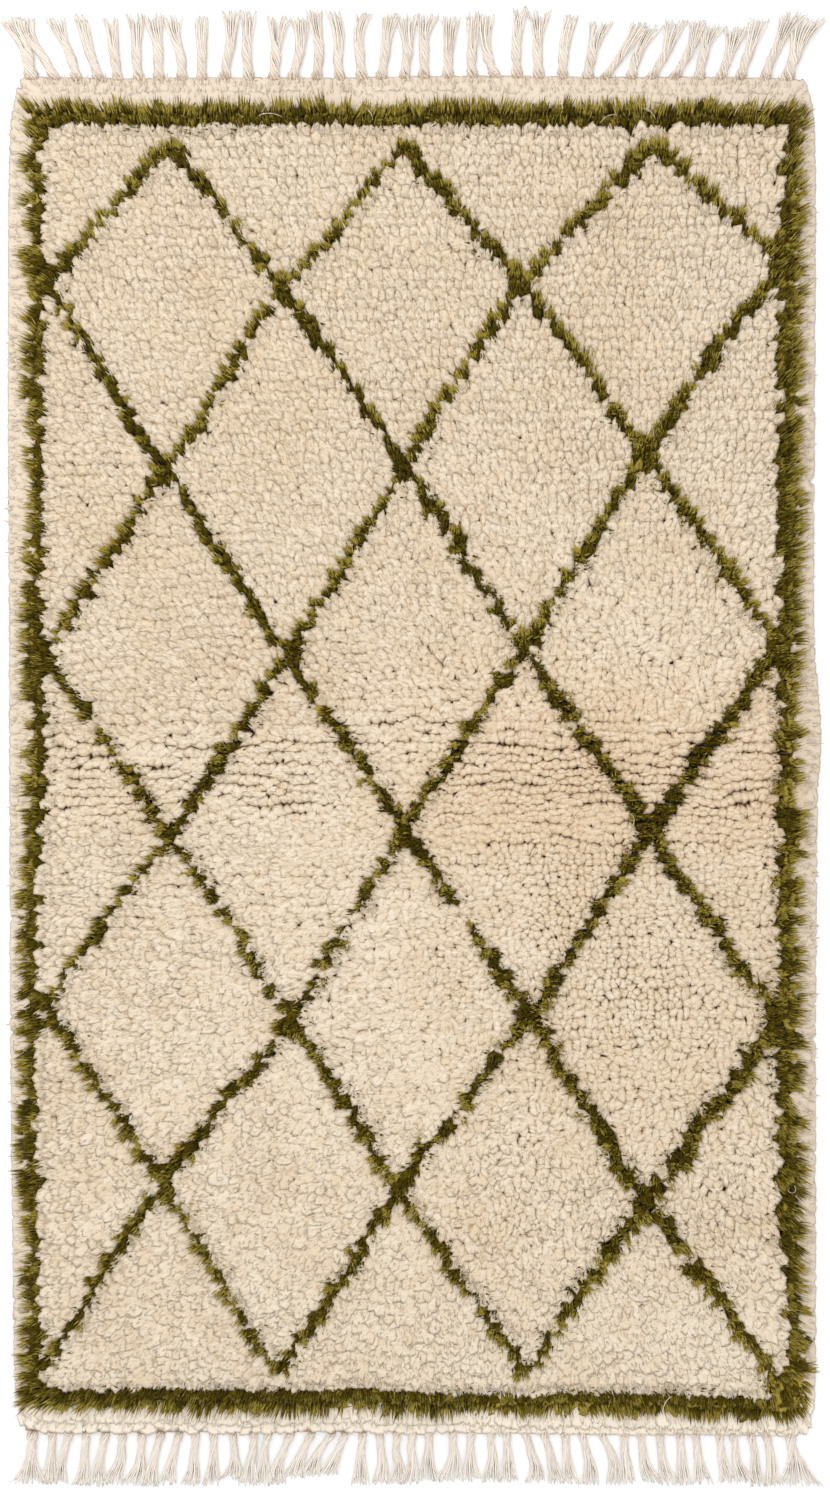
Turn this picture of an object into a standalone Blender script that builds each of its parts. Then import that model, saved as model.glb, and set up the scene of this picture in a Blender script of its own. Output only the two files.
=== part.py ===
"""A small hand-knotted wool rug: a deep cream pile with an olive trellis, and a fringe at each end.

Metres, +Z up. The rug lies flat on z = 0 with its length along Y, and the origin is on the
floor under the middle of its whole outline, fringes included. The end with the long knotted
tassels is at +Y.
"""

import math
from collections import namedtuple

import bmesh
import bpy

# ---------------------------------------------------------------- driving dimensions

TOP_END = 0.7560  # where the knotted cloth ends at +Y and the long tassels start
BOTTOM_END = -0.7762  # where it ends at -Y and the short twisted tassels start

PILE_TOP = 0.0240  # cloth and standing pile together
EDGE_HEIGHT = 0.0070  # cloth and the pile that hangs over its edge
SIDE_ROLL = 0.0200  # how far in the pile takes to reach its height, at the sides
END_ROLL = 0.0300  # the same at the ends, where the last rows are combed outwards
SWELL = 0.0012  # broad unevenness of the pile

GAP = 0.0003  # between the cloth and each fringe

# The side edges bulge and draw in, and the corners are rounded off.
EdgeRow = namedtuple("EdgeRow", "y left right")
SIDE_EDGES = (
    EdgeRow(y=0.7560, left=-0.4410, right=0.4359),
    EdgeRow(y=0.7391, left=-0.4472, right=0.4483),
    EdgeRow(y=0.6941, left=-0.4545, right=0.4534),
    EdgeRow(y=0.6154, left=-0.4562, right=0.4545),
    EdgeRow(y=0.3904, left=-0.4568, right=0.4534),
    EdgeRow(y=0.1204, left=-0.4556, right=0.4528),
    EdgeRow(y=0.0248, left=-0.4556, right=0.4601),
    EdgeRow(y=-0.0596, left=-0.4551, right=0.4568),
    EdgeRow(y=-0.2846, left=-0.4545, right=0.4545),
    EdgeRow(y=-0.6221, left=-0.4511, right=0.4545),
    EdgeRow(y=-0.7346, left=-0.4489, right=0.4534),
    EdgeRow(y=-0.7628, left=-0.4444, right=0.4478),
    EdgeRow(y=-0.7762, left=-0.4376, right=0.4399),
)

# Rows of pile that have parted where the rug was once folded across its middle.
Parting = namedtuple("Parting", "start end y_start y_end depth")
PARTINGS = (
    Parting(start=-0.418, end=-0.108, y_start=0.014, y_end=0.011, depth=0.0025),
    Parting(start=-0.428, end=-0.058, y_start=-0.019, y_end=-0.016, depth=0.0035),
    Parting(start=-0.408, end=-0.148, y_start=-0.044, y_end=-0.046, depth=0.0030),
    Parting(start=-0.378, end=-0.168, y_start=-0.077, y_end=-0.080, depth=0.0025),
    Parting(start=0.142, end=0.422, y_start=-0.028, y_end=-0.024, depth=0.0035),
    Parting(start=0.122, end=0.437, y_start=-0.057, y_end=-0.052, depth=0.0035),
    Parting(start=0.152, end=0.432, y_start=-0.090, y_end=-0.087, depth=0.0030),
)
PARTING_HALF_WIDTH = 0.0055
PARTING_FADE = 0.0400  # how far a parting takes to die out at its ends

# Distance between the sections that shape the pile
COARSE_STEP = 0.0300
PARTING_STEP = 0.0060
ROLL_STEPS = (0.0, 0.0030, 0.0080, 0.0140, 0.0220, 0.0320)  # in from each edge

# The fringes: a heading that the warps come out of, and one tooth for each tassel.
HEADING = 0.0060
HEADING_HEIGHT = 0.0045
CORNER_TASSEL = 1.5  # how much wider the last tassel at each corner is
# Sections of a tassel from where its stem opens to its tip. along is a share of that length.
Section = namedtuple("Section", "along half_width height")
KNOTTED = (
    Section(along=0.00, half_width=0.0040, height=0.0060),
    Section(along=0.45, half_width=0.0045, height=0.0052),
    Section(along=0.85, half_width=0.0050, height=0.0036),
    Section(along=1.00, half_width=0.0034, height=0.0018),
)
TWISTED = (
    Section(along=0.00, half_width=0.0038, height=0.0056),
    Section(along=0.45, half_width=0.0046, height=0.0044),
    Section(along=0.85, half_width=0.0050, height=0.0030),
    Section(along=1.00, half_width=0.0042, height=0.0018),
)
# The tassels hang as they fell, so each has its own place. Places are in steps of 1.125 mm: the
# root, a point part of the way out and the tip are counted across the rug, where 413 is the
# middle line, and out is how far the tip lies past the end of the cloth. The longest tips at both
# ends are 0.8348 m from the middle of the rug.
STEP = 0.001125
MIDDLE_LINE = 413
TOP_TASSELS = (
    # root, bend, tip, out
    (29, 23, 11, 60),
    (50, 42, 26, 60),
    (74, 66, 53, 60),
    (96, 88, 78, 65),
    (116, 113, 109, 61),
    (137, 135, 135, 66),
    (158, 156, 153, 66),
    (181, 178, 169, 63),
    (201, 201, 201, 63),
    (225, 228, 233, 67),
    (248, 247, 246, 68),
    (274, 276, 277, 62),
    (294, 300, 299, 62),
    (317, 318, 314, 69),
    (339, 337, 335, 68),
    (361, 359, 365, 65),
    (382, 386, 391, 65),
    (405, 407, 408, 64),
    (424, 424, 427, 63),
    (448, 449, 451, 60),
    (472, 472, 475, 64),
    (493, 486, 487, 62),
    (517, 517, 522, 70),
    (539, 538, 540, 67),
    (563, 565, 572, 62),
    (589, 594, 601, 56),
    (610, 625, 642, 55),
    (633, 640, 655, 53),
    (656, 668, 676, 58),
    (679, 691, 699, 57),
    (701, 705, 715, 53),
    (724, 731, 738, 51),
    (743, 751, 760, 60),
    (768, 778, 797, 66),
    (790, 798, 812, 61),
)
BOTTOM_TASSELS = (
    # root, bend, tip, out
    (31, 30, 27, 50),
    (51, 50, 46, 50),
    (66, 62, 58, 49),
    (85, 84, 79, 51),
    (103, 100, 96, 51),
    (121, 119, 112, 50),
    (141, 140, 131, 50),
    (158, 154, 148, 51),
    (176, 172, 167, 50),
    (195, 194, 188, 51),
    (213, 213, 210, 51),
    (233, 234, 230, 45),
    (253, 252, 246, 51),
    (266, 263, 261, 51),
    (287, 281, 276, 50),
    (307, 301, 294, 44),
    (326, 318, 310, 42),
    (342, 337, 325, 40),
    (362, 361, 359, 51),
    (380, 381, 381, 50),
    (397, 397, 395, 50),
    (412, 411, 411, 51),
    (429, 429, 428, 48),
    (453, 453, 450, 49),
    (471, 470, 475, 50),
    (491, 491, 494, 50),
    (507, 508, 509, 49),
    (528, 533, 534, 50),
    (546, 551, 556, 50),
    (566, 567, 571, 50),
    (584, 588, 589, 51),
    (605, 612, 615, 51),
    (625, 626, 629, 50),
    (642, 644, 654, 49),
    (661, 663, 669, 51),
    (681, 682, 685, 51),
    (697, 699, 704, 50),
    (721, 723, 728, 49),
    (735, 738, 744, 49),
    (753, 756, 759, 52),
    (769, 772, 773, 51),
    (792, 795, 803, 51),
)
Fringe = namedtuple("Fringe", "name end way sections stem tassels bend")
FRINGES = (
    Fringe(
        name="fringe_top",
        end=TOP_END,
        way=1,
        sections=KNOTTED,
        stem=0.010,
        tassels=TOP_TASSELS,
        bend=0.43,
    ),
    Fringe(
        name="fringe_bottom",
        end=BOTTOM_END,
        way=-1,
        sections=TWISTED,
        stem=0.024,
        tassels=BOTTOM_TASSELS,
        bend=0.33,
    ),
)
CROWN = 0.55  # how much narrower a tassel is along its top than where it lies


# ---------------------------------------------------------------- the rug's outline and height


def slope(rows, n, column):
    """How fast a column of a table changes with y at row n, from the rows on both sides of it."""
    above, below = rows[max(n - 1, 0)], rows[min(n + 1, len(rows) - 1)]
    return (getattr(below, column) - getattr(above, column)) / (below.y - above.y)


def between(rows, y, column):
    """Reads a column of a table of rows at y, on a smooth curve through the rows."""
    y = min(max(y, rows[-1].y), rows[0].y)
    n = next(n for n in range(len(rows) - 1) if y >= rows[n + 1].y)
    above, below = rows[n], rows[n + 1]
    span = below.y - above.y
    t = (y - above.y) / span
    start, end = getattr(above, column), getattr(below, column)
    bend_in = slope(rows, n, column) * span * t * (1 - t) ** 2
    bend_out = slope(rows, n + 1, column) * span * t * t * (1 - t)
    return start + (end - start) * t * t * (3 - 2 * t) + bend_in - bend_out


def end_wave(x):
    """How far each end of the cloth strays from straight, at a place across it."""
    return 0.0012 * math.sin(9.0 * x + 0.6) + 0.0006 * math.sin(23.0 * x)


def rolled(inset, roll):
    """The share of the pile's height at a distance in from an edge, on a quarter ellipse."""
    short = 1 - min(inset / roll, 1)
    return math.sqrt(1 - short * short)


def parted(x, y):
    """How deep the partings leave the pile at a place."""
    depth = 0.0
    for p in PARTINGS:
        along = min(x - p.start, p.end - x) / PARTING_FADE
        if along <= 0:
            continue
        middle = p.y_start + (p.y_end - p.y_start) * (x - p.start) / (p.end - p.start)
        middle += 0.0016 * math.sin(31.0 * x + 40.0 * p.depth)
        depth += p.depth * min(along, 1) * math.exp(-(((y - middle) / PARTING_HALF_WIDTH) ** 2))
    return depth


def pile_height(x, y, left, right):
    """Height of the pile's surface over the floor."""
    side = min(x - left, right - x)
    end = min(TOP_END - y, y - BOTTOM_END)
    rise = rolled(max(side, 0), SIDE_ROLL) * rolled(max(end, 0), END_ROLL)
    swell = SWELL * (math.sin(7.0 * x + 1.0) * math.sin(5.0 * y) + 0.4 * math.sin(19.0 * y + 11.0 * x))
    full = PILE_TOP - SWELL * 1.4 + swell - parted(x, y)
    return EDGE_HEIGHT + (full - EDGE_HEIGHT) * rise


def stations(length, fine_from, fine_to):
    """Distances from one edge to the other: close at the rolls and from fine_from to fine_to."""
    found = list(ROLL_STEPS)
    stop = length - ROLL_STEPS[-1]
    while found[-1] < stop:
        fine = fine_from <= found[-1] < fine_to
        found.append(found[-1] + (PARTING_STEP if fine else COARSE_STEP))
    found = [s for s in found if s < stop - COARSE_STEP / 3]
    return found + [length - s for s in reversed(ROLL_STEPS)]


# ---------------------------------------------------------------- scene, materials, collection


def clear_scene():
    for each in list(bpy.data.objects):
        bpy.data.objects.remove(each, do_unlink=True)


def make_material(name, colour, roughness):
    material = bpy.data.materials.new(name)
    material.use_nodes = True
    surface = material.node_tree.nodes["Principled BSDF"]
    surface.inputs["Base Color"].default_value = (*colour, 1.0)
    surface.inputs["Roughness"].default_value = roughness
    surface.inputs["Metallic"].default_value = 0.0
    return material


def add_object(name, bm, material, collection):
    bmesh.ops.recalc_face_normals(bm, faces=bm.faces[:])
    mesh = bpy.data.meshes.new(name)
    bm.to_mesh(mesh)
    bm.free()
    mesh.materials.append(material)
    made = bpy.data.objects.new(name, mesh)
    collection.objects.link(made)
    return made


# ---------------------------------------------------------------- the knotted cloth


def build_rug(material, collection):
    """Cloth and pile as one solid: a flat underside, and a top raised to the pile's height."""
    length = TOP_END - BOTTOM_END
    parting_places = [p.y_start - BOTTOM_END for p in PARTINGS]
    margin = 3 * PARTING_HALF_WIDTH
    rows = stations(length, min(parting_places) - margin, max(parting_places) + margin)
    width = SIDE_EDGES[0].right - SIDE_EDGES[0].left
    columns = stations(width, width, width)

    bm = bmesh.new()
    bmesh.ops.create_grid(bm, x_segments=len(columns) - 1, y_segments=len(rows) - 1, size=0.5)
    edges = {}
    for v in bm.verts:
        column = columns[round((v.co.x + 0.5) * (len(columns) - 1))]
        row = rows[round((v.co.y + 0.5) * (len(rows) - 1))]
        y = BOTTOM_END + row
        left, right = between(SIDE_EDGES, y, "left"), between(SIDE_EDGES, y, "right")
        # the rolls keep their width, and what is between them takes up the change
        spread = (right - left - 2 * ROLL_STEPS[-1]) / (width - 2 * ROLL_STEPS[-1])
        if column <= ROLL_STEPS[-1]:
            x = left + column
        elif column >= width - ROLL_STEPS[-1]:
            x = right - (width - column)
        else:
            x = left + ROLL_STEPS[-1] + (column - ROLL_STEPS[-1]) * spread
        v.co = (x, y + end_wave(x), 0.0)
        edges[v] = (y, left, right)

    under = bm.faces[:]
    raised = bmesh.ops.extrude_face_region(bm, geom=under, use_keep_orig=True)["geom"]
    tops = [g for g in raised if isinstance(g, bmesh.types.BMVert)]
    places = {(round(v.co.x, 6), round(v.co.y, 6)): v for v in edges}
    for v in tops:
        y, left, right = edges[places[(round(v.co.x, 6), round(v.co.y, 6))]]
        v.co.z = pile_height(v.co.x, y, left, right)

    flat = [v for v in bm.verts if v.co.z == 0.0]
    flat_edges = [e for e in bm.edges if all(v.co.z == 0.0 for v in e.verts)]
    bmesh.ops.dissolve_limit(bm, angle_limit=0.001, verts=flat, edges=flat_edges)
    made = add_object("rug", bm, material, collection)
    made.data.shade_smooth()
    made.data.set_sharp_from_angle(angle=math.radians(60))
    return made


# ---------------------------------------------------------------- the fringes


def curved(start, middle, stop, bend, along):
    """A place on the smooth curve from start to stop that passes middle at the share bend."""
    first = (along - bend) * (along - 1) / bend
    second = along * (along - 1) / (bend * (bend - 1))
    third = along * (along - bend) / (1 - bend)
    return start * first + middle * second + stop * third


def tassel_places(fringe):
    """Places across the rug of each tassel's root, bend and tip, then its reach and its width."""
    found = []
    for n, (root, bend, tip, out) in enumerate(fringe.tassels):
        across = [(place - MIDDLE_LINE) * STEP for place in (root, bend, tip)]
        corner = n in (0, len(fringe.tassels) - 1)
        found.append((across, out * STEP, CORNER_TASSEL if corner else 1))
    return found


def build_fringe(fringe, material, collection):
    """One comb: a flat heading along the cloth's end, and tassels pulled out of its outer side."""
    places = tassel_places(fringe)
    half = fringe.sections[0].half_width
    cuts = [places[0][0][0] - 2 * half]
    for across, _, wide in places:
        cuts += [across[0] - half * wide, across[0] + half * wide]
    cuts.append(places[-1][0][0] + 2 * half)

    bm = bmesh.new()
    bmesh.ops.create_grid(bm, x_segments=len(cuts) - 1, y_segments=1, size=0.5)
    for v in bm.verts:
        x = cuts[round((v.co.x + 0.5) * (len(cuts) - 1))]
        out = GAP + (HEADING if (v.co.y > 0) == (fringe.way > 0) else 0.0)
        v.co = (x, fringe.end + end_wave(x) + fringe.way * out, 0.0)
    raised = bmesh.ops.extrude_face_region(bm, geom=bm.faces[:], use_keep_orig=True)["geom"]
    for g in raised:
        if isinstance(g, bmesh.types.BMVert):
            g.co.z = HEADING_HEIGHT
    bmesh.ops.recalc_face_normals(bm, faces=bm.faces[:])

    outer = [f for f in bm.faces if f.normal.y * fringe.way > 0.9]
    outer.sort(key=lambda f: f.calc_center_median().x)
    for (across, reach, wide), face in zip(places, outer[1::2]):
        heading = max(v.co.y * fringe.way for v in face.verts) - fringe.way * fringe.end
        for section in fringe.sections:
            face = bmesh.ops.extrude_discrete_faces(bm, faces=[face])["faces"][0]
            opened = heading + fringe.stem
            past = opened + (reach - opened) * section.along
            middle = curved(*across, fringe.bend, (past - heading) / (reach - heading))
            top = max(v.co.z for v in face.verts)
            centre = face.calc_center_median().x
            for v in face.verts:
                upper = v.co.z > top / 2
                side = math.copysign(section.half_width * wide, v.co.x - centre)
                x = middle + side * (CROWN if upper else 1)
                v.co = (x, fringe.end + fringe.way * past, section.height if upper else 0.0)
    return add_object(fringe.name, bm, material, collection)


# ---------------------------------------------------------------- the whole rug


def main():
    clear_scene()
    collection = bpy.data.collections.new("knotted_rug")
    bpy.context.scene.collection.children.link(collection)
    pile_wool = make_material("cream_pile", (0.79, 0.66, 0.50), 0.95)
    fringe_yarn = make_material("fringe_yarn", (0.84, 0.78, 0.66), 0.90)
    build_rug(pile_wool, collection)
    for fringe in FRINGES:
        build_fringe(fringe, fringe_yarn, collection)


main()
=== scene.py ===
import math
from collections import namedtuple

import bpy
import numpy as np
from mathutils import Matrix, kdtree
from numpy.random import default_rng


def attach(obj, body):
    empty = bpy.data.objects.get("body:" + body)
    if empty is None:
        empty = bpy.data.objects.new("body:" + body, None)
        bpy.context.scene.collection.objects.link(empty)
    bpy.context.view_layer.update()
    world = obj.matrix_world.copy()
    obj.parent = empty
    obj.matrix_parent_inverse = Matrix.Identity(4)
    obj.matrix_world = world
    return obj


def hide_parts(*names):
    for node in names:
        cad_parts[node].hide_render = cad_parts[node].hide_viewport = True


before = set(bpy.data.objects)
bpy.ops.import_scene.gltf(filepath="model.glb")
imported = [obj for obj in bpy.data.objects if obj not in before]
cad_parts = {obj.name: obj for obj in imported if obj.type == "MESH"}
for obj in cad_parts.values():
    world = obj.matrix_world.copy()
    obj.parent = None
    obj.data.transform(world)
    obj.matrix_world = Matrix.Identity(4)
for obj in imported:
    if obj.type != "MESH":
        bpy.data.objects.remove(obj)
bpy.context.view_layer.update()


# ---------------------------------------------------------------- the ground cloth
# A stiff wool cloth, 3 mm thick, with the warps running the length of the rug. It is narrower
# than the rug, because the pile hangs over its sides. Below, each row of knots shows as a line
# of small bumps, and the trellis and the border show through in olive.

CLOTH_THICK = 0.0030
BODY_TOP, BODY_BOTTOM = 0.7560, -0.7762  # where the rug's two ends lie, without the fringes
SIDE_HANG = 0.0090  # how far the pile hangs past the cloth at each side
END_HANG = 0.0040  # and at each end
ROW = 0.0114  # from one row of knots to the next
KNOT = 0.0078  # from one knot to the next in a row

# the rug's outline on the floor, and its four sides
outline = np.array([v.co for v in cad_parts["rug"].data.vertices])
outline = np.unique(outline[outline[:, 2] < 0.0001].round(4), axis=0)


def table(points, column):
    """The outline's points on one side, in order, as two columns for np.interp."""
    points = points[np.argsort(points[:, column])]
    return points[:, column], points[:, 1 - column]


left_side = table(outline[outline[:, 0] < -0.4370], 1)
right_side = table(outline[outline[:, 0] > 0.4350], 1)
top_end = table(outline[outline[:, 1] > 0.7545], 0)
bottom_end = table(outline[outline[:, 1] < -0.7745], 0)


class Thread:
    """A value that runs through a material's nodes. Sums on it add the Math nodes."""

    def __init__(self, tree, socket=None):
        self.tree, self.socket = tree, socket

    def node(self, kind, settings=None, sockets=None, out=0):
        made = self.tree.nodes.new(kind)
        for name, value in (settings or {}).items():
            setattr(made, name, value)
        for key, value in (sockets or {}).items():
            if isinstance(value, Thread):
                self.tree.links.new(value.socket, made.inputs[key])
            else:
                made.inputs[key].default_value = value
        return Thread(self.tree, made.outputs[out])

    def maths(self, operation, first, second=0.0):
        return self.node("ShaderNodeMath", {"operation": operation}, {0: first, 1: second})

    def blend(self, first, second, how="MIX"):
        """From the first colour to the second by this share."""
        settings = {"data_type": "RGBA", "blend_type": how}
        return self.node("ShaderNodeMix", settings, {0: self, 6: first, 7: second}, 2)

    def coloured(self, *stops):
        """The colour for this value, between stops that each give a value and its colour."""
        made = self.node("ShaderNodeValToRGB", None, {0: self})
        colours = made.socket.node.color_ramp.elements
        colours.remove(colours[1])
        colours[0].position, colours[0].color = stops[0]
        for place, colour in stops[1:]:
            colours.new(place).color = colour
        return made

    def between(self, low, high):
        """0 below low and 1 above high, rounded at both ends."""
        sockets = {"Value": self, "From Min": low, "From Max": high}
        return self.node("ShaderNodeMapRange", {"interpolation_type": "SMOOTHSTEP"}, sockets)

    def noise(self, scale, detail):
        """Noise at this place, in features per metre."""
        return self.node("ShaderNodeTexNoise", None, {"Vector": self, "Scale": scale, "Detail": detail})

    def stretched(self, by):
        return self.node("ShaderNodeMapping", {"vector_type": "POINT"}, {0: self, 3: by})

    def axis(self, letter):
        return self.node("ShaderNodeSeparateXYZ", None, {0: self}, letter)

    def wave(self):
        """0 at each multiple of pi, and 1 half way between."""
        return abs(self.maths("SINE", self))

    def __abs__(self):
        return self.maths("ABSOLUTE", self)

    def __add__(self, other):
        return self.maths("ADD", self, other)

    def __sub__(self, other):
        return self.maths("SUBTRACT", self, other)

    def __rsub__(self, other):
        return self.maths("SUBTRACT", other, self)

    def __mul__(self, other):
        return self.maths("MULTIPLY", self, other)

    def __truediv__(self, other):
        return self.maths("DIVIDE", self, other)


def painted(name, sockets):
    """A new material and its surface shader, with values for some of its sockets."""
    material = bpy.data.materials.new(name)
    material.use_nodes = True
    surface = material.node_tree.nodes["Principled BSDF"]
    for socket, value in sockets.items():
        surface.inputs[socket].default_value = value
    return material, surface


def wool(name, roughness, sheen):
    """A matt wool material: its surface shader, and a thread to start its nodes from."""
    sockets = {"Roughness": roughness, "Specular IOR Level": 0.5 * sheen}
    material, surface = painted(name, sockets | {"Sheen Weight": sheen, "Sheen Roughness": 0.5})
    return material, surface, Thread(material.node_tree)


def cover(surface, colour, relief, strength, distance):
    """Gives a surface its colour, and its relief as bump."""
    sockets = {"Strength": strength, "Distance": distance, "Height": relief}
    bump = relief.node("ShaderNodeBump", None, sockets)
    for value, socket in ((colour, "Base Color"), (bump, "Normal")):
        value.tree.links.new(value.socket, surface.inputs[socket])


back_wool, surface, thread = wool("woven back", 0.95, 0.1)
place = thread.node("ShaderNodeTexCoord", out="Object")
wander = place.noise(22.0, 2.0)
grain = place.noise(900.0, 3.0)
x, y = place.axis("X"), place.axis("Y")
shift = (wander - 0.5) * 0.006
rows = ((y + shift * 0.2) * (math.pi / ROW)).wave()
knots = ((x + shift * 0.2) * (2 * math.pi / KNOT)).wave()
# the trellis repeats every 0.270 m across, and each half of a diamond is 0.206 m long
across = (x + shift + 0.413) / 0.270
along = (y + shift) / 0.412 - 0.7427 / 0.412
rising = thread.maths("PINGPONG", across + along, 0.5)
falling = thread.maths("PINGPONG", across - along, 0.5)
trellis = 1 - thread.maths("MINIMUM", rising, falling).between(0.024, 0.034)
side = abs(x + shift * 0.5 - 0.001)
end = abs(y + shift * 0.5 + 0.013)
inside = (1 - side.between(0.412, 0.415)) * (1 - end.between(0.708, 0.711))
border = (1 - side.between(0.436, 0.439)) * (1 - end.between(0.738, 0.741)) * (1 - inside)
olive = thread.maths("MAXIMUM", trellis * inside, border)
cream = grain.blend((0.60, 0.47, 0.32, 1), (0.80, 0.68, 0.52, 1))
green = grain.blend((0.07, 0.06, 0.010, 1), (0.16, 0.14, 0.020, 1))
warp = grain.blend((0.62, 0.55, 0.43, 1), (0.80, 0.73, 0.62, 1))
knotted = (olive * (1 - wander * 0.2)).blend(cream, green)
below = rows.between(0.15, 0.45).blend(warp, knotted)
# the upper face shows only between the tufts, and it is painted brown there as painted shade down in
# the pile
colour = place.axis("Z").between(0.0010, 0.0020).blend(below, (0.62, 0.43, 0.26, 1))
cover(surface, colour, rows * 0.7 + knots * rows * 0.3 + grain * 0.25, 0.7, 0.0012)


def finish_piece(piece, material, slot, *nodes):
    """Gives a piece its wool, hides the CAD nodes that it stands for, and lets it move with the rug."""
    piece.data.materials.append(material)
    piece.data.shade_smooth()
    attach(piece, "root")
    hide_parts(*nodes)


bpy.ops.mesh.primitive_grid_add(x_subdivisions=46, y_subdivisions=77, size=1)
ground_cloth = bpy.context.object
ground_cloth.name = "ground_cloth"
for v in ground_cloth.data.vertices:
    share_x, share_y = v.co.x + 0.5, v.co.y + 0.5
    low = np.interp(v.co.x * 0.88, *bottom_end) + END_HANG
    high = np.interp(v.co.x * 0.88, *top_end) - END_HANG
    y = low + (high - low) * share_y
    # at its corners it reaches a little further out
    corner = 0.011 * (max(0, abs(share_y - 0.5) - 0.46) / 0.04) ** 2
    low = np.interp(y, *left_side) + SIDE_HANG - corner * 0.6
    high = np.interp(y, *right_side) - SIDE_HANG + corner * 0.6
    v.co = (low + (high - low) * share_x, y, 0)
thickness = ground_cloth.modifiers.new("thickness", "SOLIDIFY")
thickness.thickness = CLOTH_THICK
thickness.offset = 1
bpy.ops.object.modifier_apply(modifier="thickness")
finish_piece(ground_cloth, back_wool, "woven_back", "rug")


# ---------------------------------------------------------------- the knots, row by row
# Wool yarn is tied round the warps in rows, and its two ends are cut off 21 mm above the
# cloth. The maker changes to olive yarn at each line of the trellis and in the border. After
# years on the floor the pile lies away from one worn place right of the middle, where it
# stands up, and it has parted between its rows where the rug was once folded.

PILE = 0.0208  # length of a tuft over the cloth
ROOT_HIGH = 0.0020  # height of its foot, down in the cloth
WORN = (0.199, -0.172)  # the place that the pile leans away from
FIRST_ROW, LAST_ROW = 0.0214, 0.0170  # from the two ends to the first and the last row
ROW_END = 0.0155  # from the rug's side to the first knot of a row


def unevenness(x, y, spacing, seed):
    """Smooth wandering between -1 and 1 over the rug, its hills about one spacing apart."""
    hills = default_rng(seed).uniform(-1, 1, (260, 260))
    u, v = x / spacing + 130, y / spacing + 130
    i, j = np.floor(u).astype(int), np.floor(v).astype(int)
    u, v = u - i, v - j
    u, v = u * u * (3 - 2 * u), v * v * (3 - 2 * v)
    i, j, past_i, past_j = i % 260, j % 260, (i + 1) % 260, (j + 1) % 260
    near = hills[i, j] * (1 - u) + hills[past_i, j] * u
    far = hills[i, past_j] * (1 - u) + hills[past_i, past_j] * u
    return near * (1 - v) + far * v


def ramp(value, start, reach):
    """0 up to start, then rising to 1 over reach. With a reach below 0 it rises the other way."""
    return np.clip((value - start) / reach, 0, 1)


def window(value, low, high, soft):
    """1 from low to high, fading to 0 outside them."""
    rise = np.clip((value - low) / soft + 0.5, 0, 1)
    fall = np.clip((high - value) / soft + 0.5, 0, 1)
    return rise * fall


def parted(x, y):
    """How far the rows stand apart: in three stretches of the worn fold, and a little elsewhere."""
    left = window(x, -0.420, -0.095, 0.06) * window(y, -0.090, 0.020, 0.03)
    middle = window(x, -0.095, 0.075, 0.05) * window(y, -0.015, 0.050, 0.03)
    right = window(x, 0.040, 0.435, 0.05) * window(y, -0.112, 0.030, 0.03)
    everywhere = 0.10 + 0.25 * unevenness(x, y, 0.09, 61)
    return np.clip(np.maximum.reduce([left, middle, right, everywhere]), 0, 1)


row_places = np.arange(BODY_BOTTOM + FIRST_ROW, BODY_TOP - LAST_ROW, ROW)
roots = []
for n, y in enumerate(row_places):
    first = np.interp(y, *left_side) + ROW_END
    last = np.interp(y, *right_side) - ROW_END
    here = np.linspace(first, last, round((last - first) / KNOT) + (n % 2))
    roots += [(n, x, y) for x in here]
row, x, y = (np.array(each) for each in zip(*roots))
draw = default_rng(11)
apart = parted(x, y)
# how far each row can open
strength = default_rng(9).uniform(0.05, 1.15, len(row_places) + 1)


def opening(row):
    """How far the rows stand apart just above a row: long stretches at the fold, short ones else."""
    long = np.clip(unevenness(x, row * 0.060, 0.060, 5) * 1.1 + 0.6, 0, 1) * apart * strength[row]
    short = np.clip(unevenness(x, row * 0.022, 0.022, 6) * 1.8 - 0.25, 0, 1) * (0.14 + 0.6 * apart)
    return np.maximum(long, short)


open_above, open_below = opening(row), opening(row - 1)
# the rows sag at the lower right, and near the two ends they bow up a little on the left
y = y - 0.007 * (ramp(x, 0.20, 0.18) * ramp(y, -0.55, -0.20))
y = y + 0.0032 * np.exp(-(((x + 0.21) / 0.08) ** 2)) * ramp(y, 0.668, 0.02)
y = y + 0.0028 * ramp(x, 0.05, -0.05) * ramp(y, -0.68, -0.02)
x = x + draw.normal(0, 0.0017, len(x))
y = y + draw.normal(0, 0.0014, len(x)) * (1 - 0.7 * apart)
y = y + (0.0026 + 0.0012 * apart) * unevenness(x, y, 0.055, 7)
y = y + (0.0010 + 0.0042 * apart) * unevenness(x, y, 0.026, 8)


def lying(foot, tip, along):
    """How far out and how far up a tuft of unit length has got, bent from its foot to its tip."""
    turn = np.maximum(tip - foot, 0.02)
    now = foot + turn * along
    return (np.cos(foot) - np.cos(now)) / turn, (np.sin(now) - np.sin(foot)) / turn


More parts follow.
